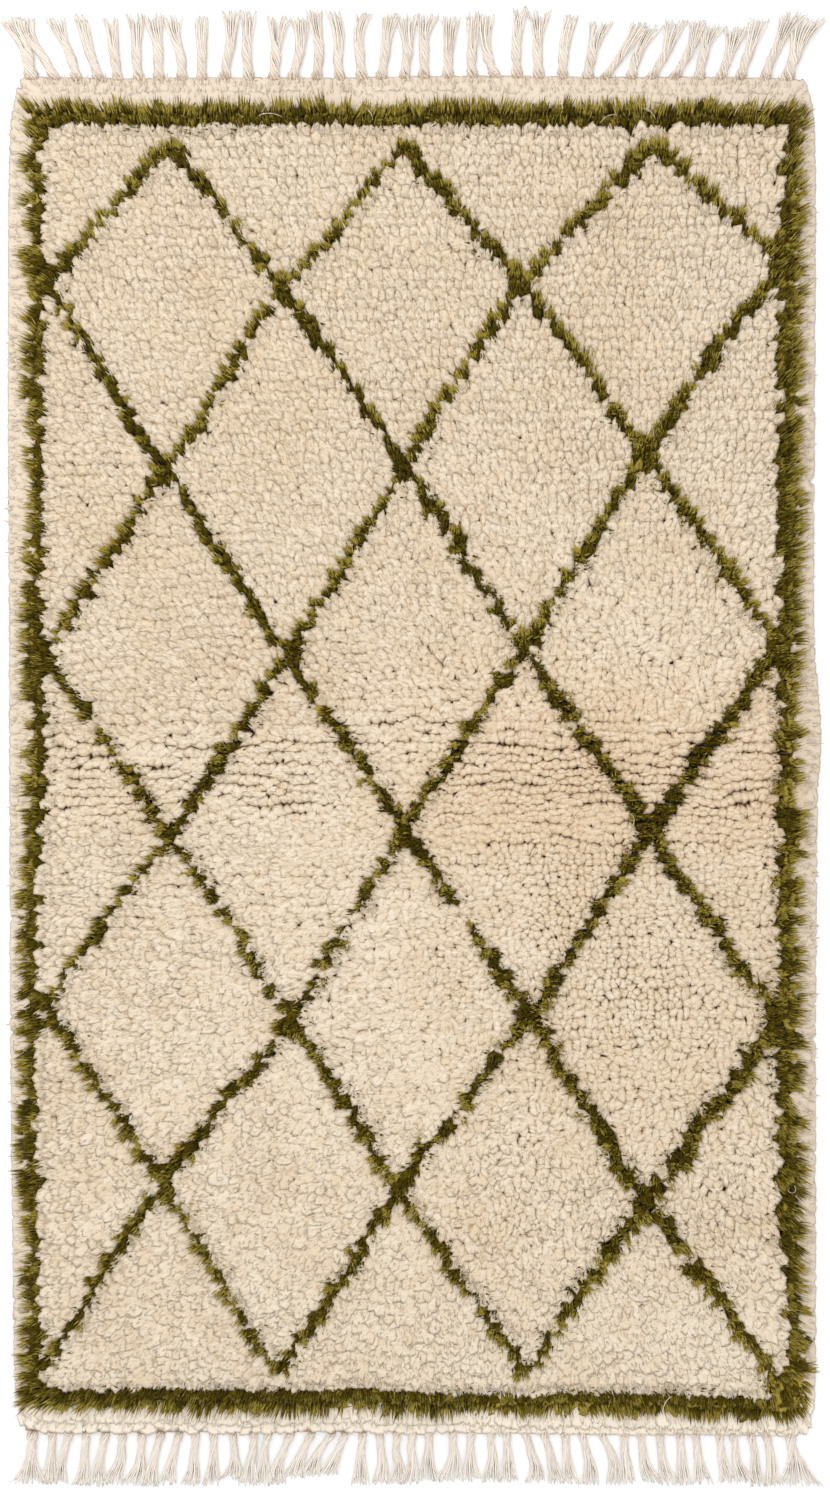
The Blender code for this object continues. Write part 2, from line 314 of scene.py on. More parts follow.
# which way each tuft leans, and how far its foot and its tip are from upright, in degrees
away_x, away_y = x - WORN[0], y - WORN[1]
distance = np.hypot(away_x, away_y) + 0.0001
lean_tip = np.interp(distance, [0, 0.15, 0.30, 0.50, 0.75, 1.0], [8, 16, 30, 44, 52, 56])
lean_tip = lean_tip * (1 - 0.55 * np.clip(apart * 1.6 - 0.5, 0, 1))
lean_foot = 0.25 * lean_tip
away_x, away_y = away_x / distance, away_y / distance
to_left = x - np.interp(y, *left_side)
to_right = np.interp(y, *right_side) - x
to_top = BODY_TOP - y
to_bottom = y - BODY_BOTTOM
for edge, way_x, way_y, reach in (  # near the outline it leans outwards
    (to_left, -1, 0, 0.075),
    (to_right, 1, 0, 0.060),
    (to_top, 0, 1, 0.090),
    (to_bottom, 0, -1, 0.080),
):
    pull = 2.5 * np.clip(1 - (edge - 0.012) / reach, 0, 1) ** 1.5
    away_x, away_y = away_x + way_x * pull, away_y + way_y * pull
nearest = np.minimum.reduce([to_left, to_right, to_top, to_bottom])
rim = np.clip(1 - (nearest - 0.014) / 0.034, 0, 1)
ends = np.minimum(to_top, to_bottom) < np.minimum(to_left, to_right)
lean_tip = lean_tip + (np.where(ends, 95, 104) - lean_tip) * rim**0.8
lean_foot = lean_foot + (np.where(ends, 60, 52) - lean_foot) * rim
heading = np.arctan2(away_y, away_x)
# where the tuft shows from above, before its own unevenness: most of the way along its lean
shorter = 1 - 0.30 * rim
seen = PILE * shorter * lying(np.radians(lean_foot), np.radians(lean_tip), 0.75)[0]
seen_x = x + seen * np.cos(heading) + draw.normal(0, 0.0006, len(x))
seen_y = y + seen * np.sin(heading) + draw.normal(0, 0.0006, len(x))
standing = np.clip(1 - lean_tip / 45, 0, 1)
heading = heading + (0.25 + 0.9 * standing) * unevenness(x, y, 0.026, 21)
heading = heading + 0.22 * unevenness(x, y, 0.080, 22)
heading = heading + (0.16 + 1.1 * standing) * draw.normal(0, 1, len(x))
settled = 1 - 0.8 * rim
lean_tip = lean_tip + settled * (7 * unevenness(x, y, 0.026, 23) + 5 * unevenness(x, y, 0.085, 24))
lean_tip = np.clip(lean_tip + settled * draw.normal(0, 4, len(x)), 3, 112)
length = PILE * (1 + 0.02 * draw.normal(0, 1, len(x)) + 0.03 * unevenness(x, y, 0.045, 31))
length = length * shorter
tone = np.clip(0.5 + 0.16 * draw.normal(0, 1, len(x)) + 0.14 * unevenness(x, y, 0.030, 33), 0, 1)

# The trellis, by the places where its lines cross, from the top end of the rug to the bottom.
# Lines run from each crossing to its two neighbours in the next row.
CROSSINGS = (
    ((-0.273, 0.677), (-0.009, 0.675), (0.270, 0.674)),
    ((-0.413, 0.522), (-0.144, 0.514), (0.123, 0.522), (0.414, 0.546)),
    ((-0.278, 0.312), (-0.009, 0.317), (0.262, 0.330)),
    ((-0.413, 0.103), (-0.143, 0.100), (0.125, 0.111), (0.412, 0.117)),
    ((-0.272, -0.099), (-0.009, -0.092), (0.268, -0.093)),
    ((-0.413, -0.288), (-0.136, -0.305), (0.132, -0.304), (0.412, -0.309)),
    ((-0.283, -0.489), (-0.017, -0.496), (0.261, -0.512)),
    ((-0.414, -0.698), (-0.152, -0.705), (0.127, -0.702), (0.414, -0.719)),
)
LINE = 0.0079  # half the width of a line
# places where the maker ran short of olive, and how far each gap reaches
BREAKS = (
    (0.313, 0.647, 0.006), (0.353, 0.618, 0.006), (0.051, -0.186, 0.012), (-0.369, -0.620, 0.005),
)
# the outer and the inner edges of the border: left, right, bottom, top
BORDER_OUT = (-0.4322, 0.4362, -0.738, 0.710)
BORDER_IN = (-0.4088, 0.4110, -0.715, 0.688)
# how far it strays to the right of these, at places up each side
LEFT_STRAYS = (
    (-0.61, -0.0055), (-0.43, -0.0095), (-0.25, -0.0090), (-0.06, -0.0030), (0.03, 0.0000),
    (0.11, -0.0045), (0.20, -0.0022), (0.56, -0.0020), (0.66, -0.0038),
)
RIGHT_STRAYS = (
    (-0.68, 0.0065), (-0.58, 0.0020), (-0.43, -0.0025), (-0.10, -0.0020), (0.42, -0.0015),
    (0.60, 0.0000), (0.68, 0.0030),
)

drift_x = seen_x + 0.0022 * unevenness(seen_x, seen_y, 0.045, 41)
drift_y = seen_y + 0.0022 * unevenness(seen_x, seen_y, 0.045, 42)
on_line = np.zeros(len(x), bool)
# the lines are wider on the right, at their top peaks and in the lower half
wider = 0.08 + 0.16 * ramp(seen_y, 0.35, -0.20)
wider = 0.92 + wider * ramp(seen_x, 0.10, 0.15) + 0.22 * ramp(seen_y, 0.625, 0.02)
wider = wider + 0.10 * ramp(seen_y, -0.28, -0.12)
for upper, lower in zip(CROSSINGS, CROSSINGS[1:]):
    few, many = sorted((upper, lower), key=len)
    for n, (x0, y0) in enumerate(few):
        for x1, y1 in (many[n], many[n + 1]):
            run_x, run_y = x1 - x0, y1 - y0
            share = (drift_x - x0) * run_x + (drift_y - y0) * run_y
            share = np.clip(share / (run_x**2 + run_y**2), 0, 1)
            off = np.hypot(drift_x - x0 - share * run_x, drift_y - y0 - share * run_y)
            from_end = np.minimum(share, 1 - share) * math.hypot(run_x, run_y)
            half = LINE * wider + 0.0014 * np.exp(-((from_end / 0.014) ** 2))
            half = half + 0.0014 * unevenness(seen_x, seen_y, 0.022, 43)
            on_line |= off < half
for gap_x, gap_y, reach in BREAKS:
    on_line &= np.hypot(seen_x - gap_x, seen_y - gap_y) > reach
ragged = 0.0020 * unevenness(seen_x, seen_y, 0.020, 44)
row_y = row_places[row]
for here, places in ((x < 0, LEFT_STRAYS), (x > 0, RIGHT_STRAYS)):
    ragged = ragged - np.where(here, np.interp(seen_y, *zip(*places)), 0)
ragged = seen_x + ragged
outer, inner = (
    (ragged > left) & (ragged < right) & (row_y > bottom) & (row_y < top)
    for left, right, bottom, top in (BORDER_OUT, BORDER_IN)
)
on_border = outer & ~inner
# in the border the olive was cut longer at the top, at the right and at the bottom left
at_right = x > 0.38
longer = 0.20 + 0.16 * np.exp(-(((x + 0.17) / 0.13) ** 2)) + 0.14 * at_right
longer = np.where(row_y > 0.700, longer, 0.09 * at_right) + 0.14 * unevenness(x, y, 0.012, 46)
longer = longer + 0.24 * ((row_y < -0.710) & (x < 0.04))
longer = np.where(on_border, longer, 0)
# a row of cream runs between the border and the trellis, but for its middle peak
on_line &= inner & ((row_y < 0.680) | (np.abs(x + 0.009) < 0.014))
in_cream = ~(on_border | on_line)

Tufts = namedtuple("Tufts", "x y heading foot tip length above below apart tone")
foot, tip = np.radians(lean_foot), np.radians(lean_tip)
knots = Tufts(x, y, heading, foot, tip, length, open_above * settled, open_below * settled, apart, tone)


def chosen(tufts, which):
    """The tufts of one kind."""
    return Tufts(*(column[which] for column in tufts))


def pooled(*sets):
    """The tufts of several sets, one set after another."""
    return Tufts(*(np.concatenate(column) for column in zip(*sets)))


# ---------------------------------------------------------------- the cream pile
# Undyed sheep's wool in thick, softly spun yarn. Use has felted the cut ends and pressed them
# against each other: into flat nubs with thin cracks between them where the pile stands, and
# into scales that overlap where it lies over, towards the edges and out over them.

NEIGHBOURS = 12  # tufts round each one that it can meet
WIDENS = (0.0033, 0.0120)  # the least and the most that a tuft widens from its middle
LEAST = 0.0012  # the least that is left of it at the outline
Shape = namedtuple("Shape", "level round heights faces unrolled")
Lie = namedtuple("Lie", "lean flat_out held stands smooth grain_way")


def pulled_up(sides, rings):
    """A tuft of unit height, pulled up ring by ring from its foot. A ring of no width is a point."""
    bpy.ops.mesh.primitive_circle_add(vertices=sides, radius=rings[0][1] or 1, fill_type="NGON")
    bpy.ops.object.mode_set(mode="EDIT")
    bpy.ops.mesh.select_all(action="SELECT")
    for (low, before), (high, after) in zip(rings, rings[1:]):
        bpy.ops.mesh.extrude_region_move(TRANSFORM_OT_translate={"value": (0, 0, high - low)})
        if after:
            share = after / (before or 1)
            bpy.ops.transform.resize(value=(share, share, 1), center_override=(0, 0, high))
        else:
            bpy.ops.mesh.merge(type="CENTER")
    bpy.ops.object.mode_set(mode="OBJECT")
    pattern = bpy.context.object
    for v in pattern.data.vertices:
        v.select = v.co.z < 0.0001
    bpy.ops.object.mode_set(mode="EDIT")
    if not rings[0][1]:
        bpy.ops.mesh.merge(type="CENTER")
    bpy.ops.mesh.select_all(action="SELECT")
    bpy.ops.mesh.normals_make_consistent(inside=False)
    bpy.ops.object.mode_set(mode="OBJECT")

    points = np.array([v.co for v in pattern.data.vertices])
    heights = np.array([height for height, _ in rings])
    level = np.abs(points[:, 2:] - heights).argmin(axis=1)
    faces = [list(face.vertices) for face in pattern.data.polygons]
    unrolled = []
    for face in faces:
        middle = points[face].mean(axis=0)
        turn = math.atan2(middle[1], middle[0])
        for px, py, pz in points[face]:
            if np.ptp(points[face, 2]) < 1e-6:
                unrolled.append((0.5 + 0.04 * px, 0.05 + 0.04 * py))
                continue
            round_it = math.atan2(py, px) - turn if math.hypot(px, py) > 1e-4 else 0
            round_it = (round_it + math.pi) % (2 * math.pi) - math.pi + turn
            unrolled.append((round_it / (2 * math.pi) % 1, 0.12 + 0.88 * pz))
        own = slice(-len(face), None)
        if np.ptp([u for u, _ in unrolled[own]]) > 0.5:
            unrolled[own] = [(u + (u < 0.5), v) for u, v in unrolled[own]]
    unrolled = np.array(unrolled)
    unrolled[:, 0] -= unrolled[:, 0].min()
    unrolled[:, 0] /= unrolled[:, 0].max()
    bpy.data.objects.remove(pattern, do_unlink=True)
    return Shape(level, points[:, :2], heights, faces, unrolled)


def placed(name, data):
    made = bpy.data.objects.new(name, data)
    bpy.context.collection.objects.link(made)
    return made


def joined(name, shape, points, grain, tone, full=1.0, low=0.0):
    """One piece of many copies of a shape, from the corners of each.

    grain holds a place in the yarn for each corner: across its fibres, then along them. The
    colour runs from that of low at a tuft's foot to that of full at its tip.
    """
    def fill(where, key, values, kind=np.float32):
        where.foreach_set(key, values.astype(kind).ravel())

    count, corners = points.shape[:2]
    mesh = bpy.data.meshes.new(name)
    flat = np.concatenate(shape.faces)
    sizes = np.array([len(face) for face in shape.faces])
    mesh.vertices.add(count * corners)
    fill(mesh.vertices, "co", points)
    mesh.loops.add(count * len(flat))
    mesh.polygons.add(count * len(sizes))
    step = np.arange(count)[:, None]
    fill(mesh.loops, "vertex_index", step * corners + flat, np.int32)
    fill(mesh.polygons, "loop_start", step * len(flat) + np.cumsum(sizes) - sizes, np.int32)
    mesh.update(calc_edges=True)

    columns = math.ceil(math.sqrt(count))
    cell = np.stack([step % columns, step // columns], axis=-1)
    bake = (cell + 0.03 + 0.94 * shape.unrolled) / columns
    fill(mesh.uv_layers.new(name="OFBake").data, "uv", bake)
    fill(mesh.uv_layers.new(name="fibres").data, "uv", grain)
    up = low + (full - low) * shape.heights[shape.level] + np.zeros((count, 1))
    for label, values in (("up", up), ("tone", np.repeat(tone, corners))):
        fill(mesh.attributes.new(label, "FLOAT", "POINT").data, "value", values)
    return placed(name, mesh)


def strung(name, shape, paths, side, half, tone, seed, low=0.0):
    """A piece of strands, the rings of each set square along its own path. All are in metres."""
    draw = default_rng(seed)
    count = len(paths)
    way = np.gradient(paths, axis=1)
    way /= np.linalg.norm(way, axis=2, keepdims=True)
    side = side - way * (side * way).sum(axis=2, keepdims=True)
    side /= np.linalg.norm(side, axis=2, keepdims=True)
    over = np.cross(way, side)
    spin = draw.uniform(0, 2 * math.pi, (count, 1))
    u = shape.round[:, 0] * np.cos(spin) - shape.round[:, 1] * np.sin(spin)
    v = shape.round[:, 0] * np.sin(spin) + shape.round[:, 1] * np.cos(spin)
    points = paths[:, shape.level] + side[:, shape.level] * (u * half[:, None])[..., None]
    points += over[:, shape.level] * (v * half[:, None])[..., None]
    points += draw.normal(0, 0.00015, points.shape)
    points[..., 2] = np.maximum(points[..., 2], 0.0001)
    long = np.linalg.norm(np.diff(paths, axis=1), axis=2).sum(axis=1)[:, None, None]
    grain = shape.unrolled * np.concatenate([0 * long + 0.8, long * 100], axis=2)
    return joined(name, shape, points, grain + draw.uniform(0, 90, (count, 1, 2)), tone, low=low)


def planted(name, shape, tufts, half, seed, low=0.0):
    """A piece of pile: each tuft bends over from its foot to its tip the way it leans."""
    foot, tip = tufts.foot[:, None], tufts.tip[:, None]
    out, rise = (tufts.length[:, None] * each for each in lying(foot, tip, shape.heights[None, :]))
    cos, sin = np.cos(tufts.heading)[:, None], np.sin(tufts.heading)[:, None]
    x, y = tufts.x[:, None] + out * cos, tufts.y[:, None] + out * sin
    paths = np.stack([x, y, ROOT_HIGH + rise], axis=-1)
    side = np.stack([-sin, cos, 0 * cos], axis=-1) + 0 * paths
    wide = half * default_rng(seed + 1).normal(1, 0.10, len(tufts.x))
    return strung(name, shape, paths, side, wide, tufts.tone, seed, low)


def opened(tufts, parts, spread, turn, seed):
    """Each knot as several cut ends, side by side across its lean and turned apart a little."""
    draw, count = default_rng(seed), len(tufts.x)
    cos, sin = np.cos(tufts.heading), np.sin(tufts.heading)
    found = []
    for n in range(parts):
        side = (n - (parts - 1) / 2) / max(parts - 1, 1) * 2
        shift = side * spread * draw.normal(1, 0.25, count)
        ahead = draw.normal(0, spread * 0.6, count)
        found.append(tufts._replace(
            x=tufts.x - shift * sin + ahead * cos,
            y=tufts.y + shift * cos + ahead * sin,
            heading=tufts.heading + draw.normal(side * turn, turn, count),
            tip=np.clip(tufts.tip + draw.normal(0, 0.10, count), 0.1, 1.95),
            length=tufts.length * draw.normal(1, 0.06, count),
            tone=np.clip(tufts.tone + draw.normal(0, 0.10, count), 0, 1),
        ))
    return pooled(*found)


def tops(tufts):
    """Where the felted end of each tuft is."""
    out, rise = lying(tufts.foot, tufts.tip, 0.8)
    x = tufts.x + tufts.length * out * np.cos(tufts.heading)
    y = tufts.y + tufts.length * out * np.sin(tufts.heading)
    return x, y, ROOT_HIGH + tufts.length * rise


def rooms(x, y):
    """How far off the outline is: across the rug to both sides, and along it to both ends."""
    return (
        (np.interp(y, *left_side) - x, np.interp(y, *right_side) - x),
        (np.interp(x, *bottom_end) - y, np.interp(x, *top_end) - y),
    )


def rim_slope(x, y):
    """The height of the one smooth slope in which the pile runs down to the outline."""
    (left, right), (bottom, top) = rooms(x, y)
    inward = np.minimum.reduce([-left, right, -bottom, top])
    return np.minimum(0.0042 + 0.33 * inward, 0.0016 + 1.2 * np.maximum(inward, 0))


def lie_of(tufts, x, y):
    """How each tuft lies, in shares from 0 to 1, and which way its fibres hold together."""
    room_x, room_y = rooms(x, y)
    lean = np.clip(np.degrees(tufts.tip) / 45, 0, 1)
    flat_out = np.clip(2.1 - np.abs([*room_x, *room_y]).min(axis=0) / 0.020, 0, 1)
    flat_out = flat_out * np.where(y < -0.725, 0.40, 0.85)
    # leaning tufts hold together along their lean, and in the fold those of one row do
    held = np.clip(2.2 * lean - 0.5, -0.35, 1) * (1 - tufts.apart) + tufts.apart
    # towards the bottom end the pile lies smoother, but less so on the right
    rough = 0.75 * ramp(x, 0, 0.1) * ramp(y, -0.63, 0.08)
    smooth = 0.84 * lean * np.clip(-1.5 * np.sin(tufts.heading), 0, 1) * (1 - rough)
    # upright tufts keep clear of their neighbours, and so do those of a spot below the worn place
    stands = np.clip(0.5 - lean, 0, 1) + 0.9 * np.exp(-(np.hypot(x - 0.262, y + 0.290) / 0.075) ** 2)
    stands = np.maximum(stands, 0.6 * rough * (y < -0.25))
    return Lie(lean, flat_out, held, stands, smooth, np.where(tufts.apart > 0.5, 0, tufts.heading))


def widened(tufts, x, y, lie, spin, crowd, sides, draw):
    """How far each tuft reaches on each side until it meets the crowd, and how that side sinks."""
    near = [crowd.find_n((px, py, 0), NEIGHBOURS + 1)[1:] for px, py in zip(x, y)]
    near = np.array([[(co.x, co.y) for co, _, _ in found] for found in near])
    off_x, off_y = near[..., 0] - x[:, None], near[..., 1] - y[:, None]
    room_x, room_y = rooms(x, y)
    lean, flat_out, held, stands, smooth, grain_way = lie
    count = len(x)
    reach, sink = np.zeros((2, count, sides))
    for n in range(sides):
        around = spin + 2 * math.pi * n / sides
        cos, sin = np.cos(around), np.sin(around)
        facing = np.maximum(off_x * cos[:, None] + off_y * sin[:, None], 1e-5)
        meets = ((off_x**2 + off_y**2) / (2 * facing)).min(axis=1)
        # felted tufts overlap, and where two rows stand apart they don't
        apart = tufts.above * np.clip(sin, 0, 1) + tufts.below * np.clip(-sin, 0, 1)
        onward = cos * np.cos(tufts.heading) + sin * np.sin(tufts.heading)
        together = cos * np.cos(grain_way) + sin * np.sin(grain_way)
        lengthwise = lean * np.where(onward > 0, 1.3 * np.clip(onward, 0, 1) ** 4, 0.5 * onward**2)
        across = 0.36 - 0.28 * lean * (1 - flat_out) * (1 - onward**2) + 0.30 * held * together**2
        across = across - 0.16 * stands + 0.22 * smooth
        parting = np.clip(apart * 2.2, 0, 1)
        overlap = draw.normal(across, 0.13, count) * (1 - parting)
        overlap = overlap + draw.normal(0.19, 0.08, count) * parting
        overlap += lengthwise * (1 - 0.4 * flat_out) * (1 - parting) + 0.35 * flat_out
        spread = np.clip(meets * (1 + overlap), *WIDENS) * draw.normal(1, 0.05, count)
        # it stays inside the outline
        room = np.where(cos > 0, room_x[1], room_x[0]) / np.where(np.abs(cos) < 0.01, 0.01, cos)
        far = np.where(sin > 0, room_y[1], room_y[0]) / np.where(np.abs(sin) < 0.01, 0.01, sin)
        room = np.minimum(np.abs(room), np.abs(far)) * draw.uniform(0.84, 1.0, count) + LEAST
        reach[:, n] = np.clip(spread, LEAST, np.maximum(room, LEAST))
        sink[:, n] = parting * (1 - flat_out)
    return reach, sink


def pressed(name, shape, tufts, crowd, seed, full=1.0, low=0.0):
    """A piece of felted pile: each tuft widens until it meets the tufts of the crowd round it.

    full is how much of its height it has, and how far up its colour goes. Where two rows
    stand apart, the sides between them sink, and their colour is painted darker as painted shade.
    """
    draw = default_rng(seed)
    count, sides = len(tufts.x), sum(shape.level == 1)
    x, y, z = tops(tufts)
    lie = lie_of(tufts, x, y)
    ahead = tufts.heading + draw.normal(0, 0.12, count)
    spin = np.where(lie.lean * (1 - lie.flat_out) > 0.6, ahead, draw.uniform(0, 2 * math.pi, count))
    reach, sink = widened(tufts, x, y, lie, spin, crowd, sides, draw)

    # from here on a row for each tuft and a column for each corner of its shape
    lean, flat_out, held, stands, smooth, grain_way = (share[:, None] for share in lie)
    x, y, z, heading = x[:, None], y[:, None], z[:, None], tufts.heading[:, None]
    angle = np.arctan2(shape.round[:, 1], shape.round[:, 0])
    corner = np.round(angle / (2 * math.pi / sides)).astype(int) % sides
    around = spin[:, None] + 2 * math.pi * corner / sides
    out = reach[:, corner] * np.hypot(shape.round[:, 0], shape.round[:, 1])
    left, ahead = out * np.cos(around), out * np.sin(around)
    along = left * np.cos(heading) + ahead * np.sin(heading)
    beside = ahead * np.cos(heading) - left * np.sin(heading)
    drop = np.array([0, 1.0, 0.26, 0])[shape.level]
    shoulder = np.array([0, 1.0, 0.25, 0])[shape.level]
    sink = sink[:, corner] * shoulder
    turned = np.cos(2 * (around - grain_way))
    rounding = 0.58 * reach.mean(axis=1)[:, None] * (1 - smooth)
    rounding = rounding * (1 - 0.42 * lean) * (1 - 0.75 * flat_out)
    rounding = rounding * (1 + 0.6 * sink) * (1 - 0.42 * held * turned)
    tilt = 0.24 * lean * (1 - flat_out) * (1 - smooth) - 0.32 * flat_out
    slope_x, slope_y = draw.normal(0, 0.09, (2, count, 1)) * (1 - 0.7 * flat_out)
    height = full * z - rounding * drop + tilt * along
    height = height + slope_x * left + slope_y * ahead
    slope = full * rim_slope(x + left, y + ahead) - 0.0007 * drop + draw.normal(0, 0.0001, (count, 1))
    height = np.maximum(height + (slope - height) * flat_out, 0.0006)
    on_top = shape.level > 0
    points = np.stack([
        np.where(on_top, x + left, tufts.x[:, None]),
        np.where(on_top, y + ahead, tufts.y[:, None]),
        np.where(on_top, height, 0.0015),
    ], axis=-1)
    points += draw.normal(0, 0.00016, points.shape)
    down = np.where(on_top, rounding * drop, z)
    grain = np.stack([beside, along + down], axis=-1)[:, np.concatenate(shape.faces)] * 100
    grain += draw.uniform(0, 90, (count, 1, 2))
    # the valleys between the tufts and the sides that sink are painted darker, as painted shade,
    # and pile that lies smooth a little lighter
    valley_shade = np.where(turned < 0, 0.26, 0.26 - 0.20 * held) + 0.20 * stands
    valley_shade = valley_shade * shoulder * ((1 - flat_out) * (1 - smooth))
    full = full + 0.10 * smooth - 0.31 * sink - valley_shade
    return joined(name, shape, points, grain, tufts.tone, full, low)


def yarn_values(thread):
    """Of a place on a yarn: how far up it is, the yarn's tone, the place, and that in its fibres."""
    up = thread.node("ShaderNodeAttribute", {"attribute_name": "up"}, out="Fac")
    tone = thread.node("ShaderNodeAttribute", {"attribute_name": "tone"}, out="Fac")
    place = thread.node("ShaderNodeTexCoord", out="Object")
    return up, tone, place, thread.node("ShaderNodeUVMap", {"uv_map": "fibres"})


def pile_wool(name, dark, body, bright, glow, sheen, fade=0.62, uneven=0.20, rim=None):
    """Pile yarn: painted darker at its root, as painted shade down in the pile, and lighter at its tip,
    each tuft its own tone, in fibres.

    glow tints the lighter patches. fade is how far up the colour is that of the body, uneven
    how much the tone of a tuft counts, and rim the colour of the pile at the outline.
    """
    material, surface, thread = wool(name, 0.9, sheen)
    up, tone, place, fibres = yarn_values(thread)
    x, y = place.axis("X"), place.axis("Y")
    fibre = fibres.stretched((5.0, 1.1, 1)).noise(1.0, 3.0)
    patches = place.noise(7.0, 2.0)
    fleece = place.noise(300.0, 2.0)
    # creases across the pile: relief in the bump, and painted shade in the colour
    crease_and_shade = place.stretched((150, 330, 200)).noise(1.0, 3.0).between(0.30, 0.62)
    side, end = abs(x), abs(y + 0.010)
    lying_flat = thread.maths("MAXIMUM", side.between(0.425, 0.445) * 0.75, end.between(0.722, 0.742))
    crease_and_shade = crease_and_shade * (1 - lying_flat * 0.8) + lying_flat * 0.76
    # thin strokes of painted shade between the fibres, fewer at the rim
    stroke_shade = 1 - fibre.between(0.33, 0.47) * (1 - lying_flat * 0.7)
    # the colour is painted darker towards the root, in the creases and in the strokes, as painted shade
    lift = up + (tone - 0.5) * uneven + (crease_and_shade - 0.8) * 0.20 - stroke_shade * 0.36 + 0.05
    shade = lift.coloured((0.0, dark), (fade, body), (1.0, bright))
    tint = (tone - 0.5) * 0.7 + (fleece - 0.5) * 0.6 + (patches - 0.5) * 0.8 + 0.5
    shade = tint.between(0.25, 0.85).blend(shade, glow, "MULTIPLY")
    if rim:
        shade = (lying_flat * 0.6).blend(shade, rim)
        # the fold is a little browner, right of the middle
        low_end = y * -1
        browner_fold = low_end.between(-0.14, -0.02) * (1 - low_end.between(0.08, 0.16))
        browner_fold = browner_fold * x.between(-0.10, 0.12)
        shade = (browner_fold * (1 - lying_flat)).blend(shade, (0.99, 0.95, 0.91, 1), "MULTIPLY")
        # and the bottom end is a warmer white, painted lighter too as painted light, since its rim
        # leans away from the lamp
        shade = (low_end.between(0.722, 0.745) * 0.6).blend(shade, (0.96, 0.86, 0.72, 1))
    cover(surface, shade, fibre * 1.3 + fleece * 0.4 + crease_and_shade * 0.7, 0.8, 0.0013)
    return material


cream_wool = pile_wool(
    "cream pile",
    dark=(0.45, 0.28, 0.145, 1),
    body=(0.575, 0.458, 0.312, 1),
    bright=(0.76, 0.660, 0.523, 1),
    glow=(0.93, 0.87, 0.79, 1),
    sheen=0.2,
    rim=(0.79, 0.69, 0.58, 1),
)
# the shapes of a tuft, each a few rings of a height and a width
nub, low_nub = (pulled_up(sides, ((0, 0), (0.80, 1.0), (0.96, 0.64), (1, 0))) for sides in (7, 5))
strand = pulled_up(3, ((0, 0.9), (0.62, 1.0), (1, 0)))
point = pulled_up(3, ((0, 0.9), (0.5, 1.0), (1, 0)))


def moved(tufts, shift, turn, **changes):
    """Tufts at places shifted in the direction turn, with some of their other values changed."""
    x, y = tufts.x + shift * np.cos(turn), tufts.y + shift * np.sin(turn)
    return tufts._replace(x=x, y=y, **changes)


# many of the knots show their two ends, one above the other
felted = chosen(knots, in_cream)
draw = default_rng(100)
two = 0.75 - felted.tip * 0.8 - 0.35 * felted.apart
two = np.where((np.sin(felted.heading) < -0.3) & (felted.tip < 1.25), np.maximum(two, 0.42), two)
two = draw.uniform(0, 1, len(felted.x)) < two
turn = draw.normal(math.pi / 2, 0.4, len(felted.x))
shift = np.where(two, draw.normal(0.0022, 0.0003, len(felted.x)), 0)
upper = moved(felted, shift, turn, below=np.where(two, 0, felted.below))
lower_tone = np.clip(felted.tone + draw.normal(0, 0.08, len(felted.x)), 0, 1)
lower = moved(felted, -shift, turn, above=0 * felted.above, tone=lower_tone)
nubs = pooled(upper, chosen(lower, two))
crowd_x, crowd_y, _ = tops(pooled(nubs, chosen(knots, ~in_cream)))
crowd = kdtree.KDTree(len(crowd_x))
for n, place in enumerate(zip(crowd_x, crowd_y)):
    crowd.insert((*place, 0), n)
crowd.balance()


def meets_cream(x, y, heading, reach):
    """Whether the pile is cream this far ahead of each place."""
    ahead = zip(x + reach * np.cos(heading), y + reach * np.sin(heading))
    return np.array([crowd.find((*place, 0))[1] for place in ahead]) < len(nubs.x)


# four bands of it, from the bottom end up
zone = np.searchsorted(np.quantile(nubs.y, [0.25, 0.5, 0.75]), nubs.y)
cream_pieces = [
    pressed(f"cream_pile_{n + 1}", nub, chosen(nubs, zone == n), crowd, 110 + n, low=0.2)
    for n in range(4)
]
# along the olive, loose ends of the cream yarn lie out over it in points
count = len(nubs.x)
beside_olive = ~meets_cream(crowd_x[:count], crowd_y[:count], nubs.heading, 0.008)
points = opened(chosen(nubs, beside_olive), 3, 0.0028, 0.12, 120)
points = points._replace(length=points.length * 1.16, tone=points.tone * 0.4)
# where the pile leans, a lock lies over its tufts, and over the rim there are two
lying_over = (felted.tip > 0.60) & (felted.tip < 1.30) & (draw.uniform(0, 1, len(felted.x)) < 0.7)
locks = opened(chosen(felted, lying_over), 1, 0.0020, 0.10, 122)
locks = locks._replace(length=locks.length * 1.10)
over_rim = opened(chosen(felted, felted.tip > 1.30), 2, 0.0030, 0.15, 123)
over_rim = over_rim._replace(length=over_rim.length * 1.10, foot=over_rim.foot * 0.62)
over_rim = over_rim._replace(tone=over_rim.tone * 0.3 + 0.7)
locks = pooled(points, locks, over_rim)
cream_pieces.append(planted("cream_locks", point, locks, 0.0020, 121, 0.72))
for piece in cream_pieces:
    finish_piece(piece, cream_wool, "cream_pile", "rug")


# ---------------------------------------------------------------- the olive border and trellis
# The same wool, dyed olive. It is spun harder, so each knot opens into thin ends. Their colour
# is painted dark down between each other, as painted shade, and a bright yellow green at their tips.

olive_wool = pile_wool(
    "olive pile",
    dark=(0.016, 0.0095, 0.0005, 1),
    body=(0.131, 0.091, 0.004, 1),
    bright=(0.43, 0.345, 0.065, 1),
    glow=(0.96, 0.93, 0.85, 1),
    sheen=0.04,
    fade=0.70,
    uneven=0.70,
)
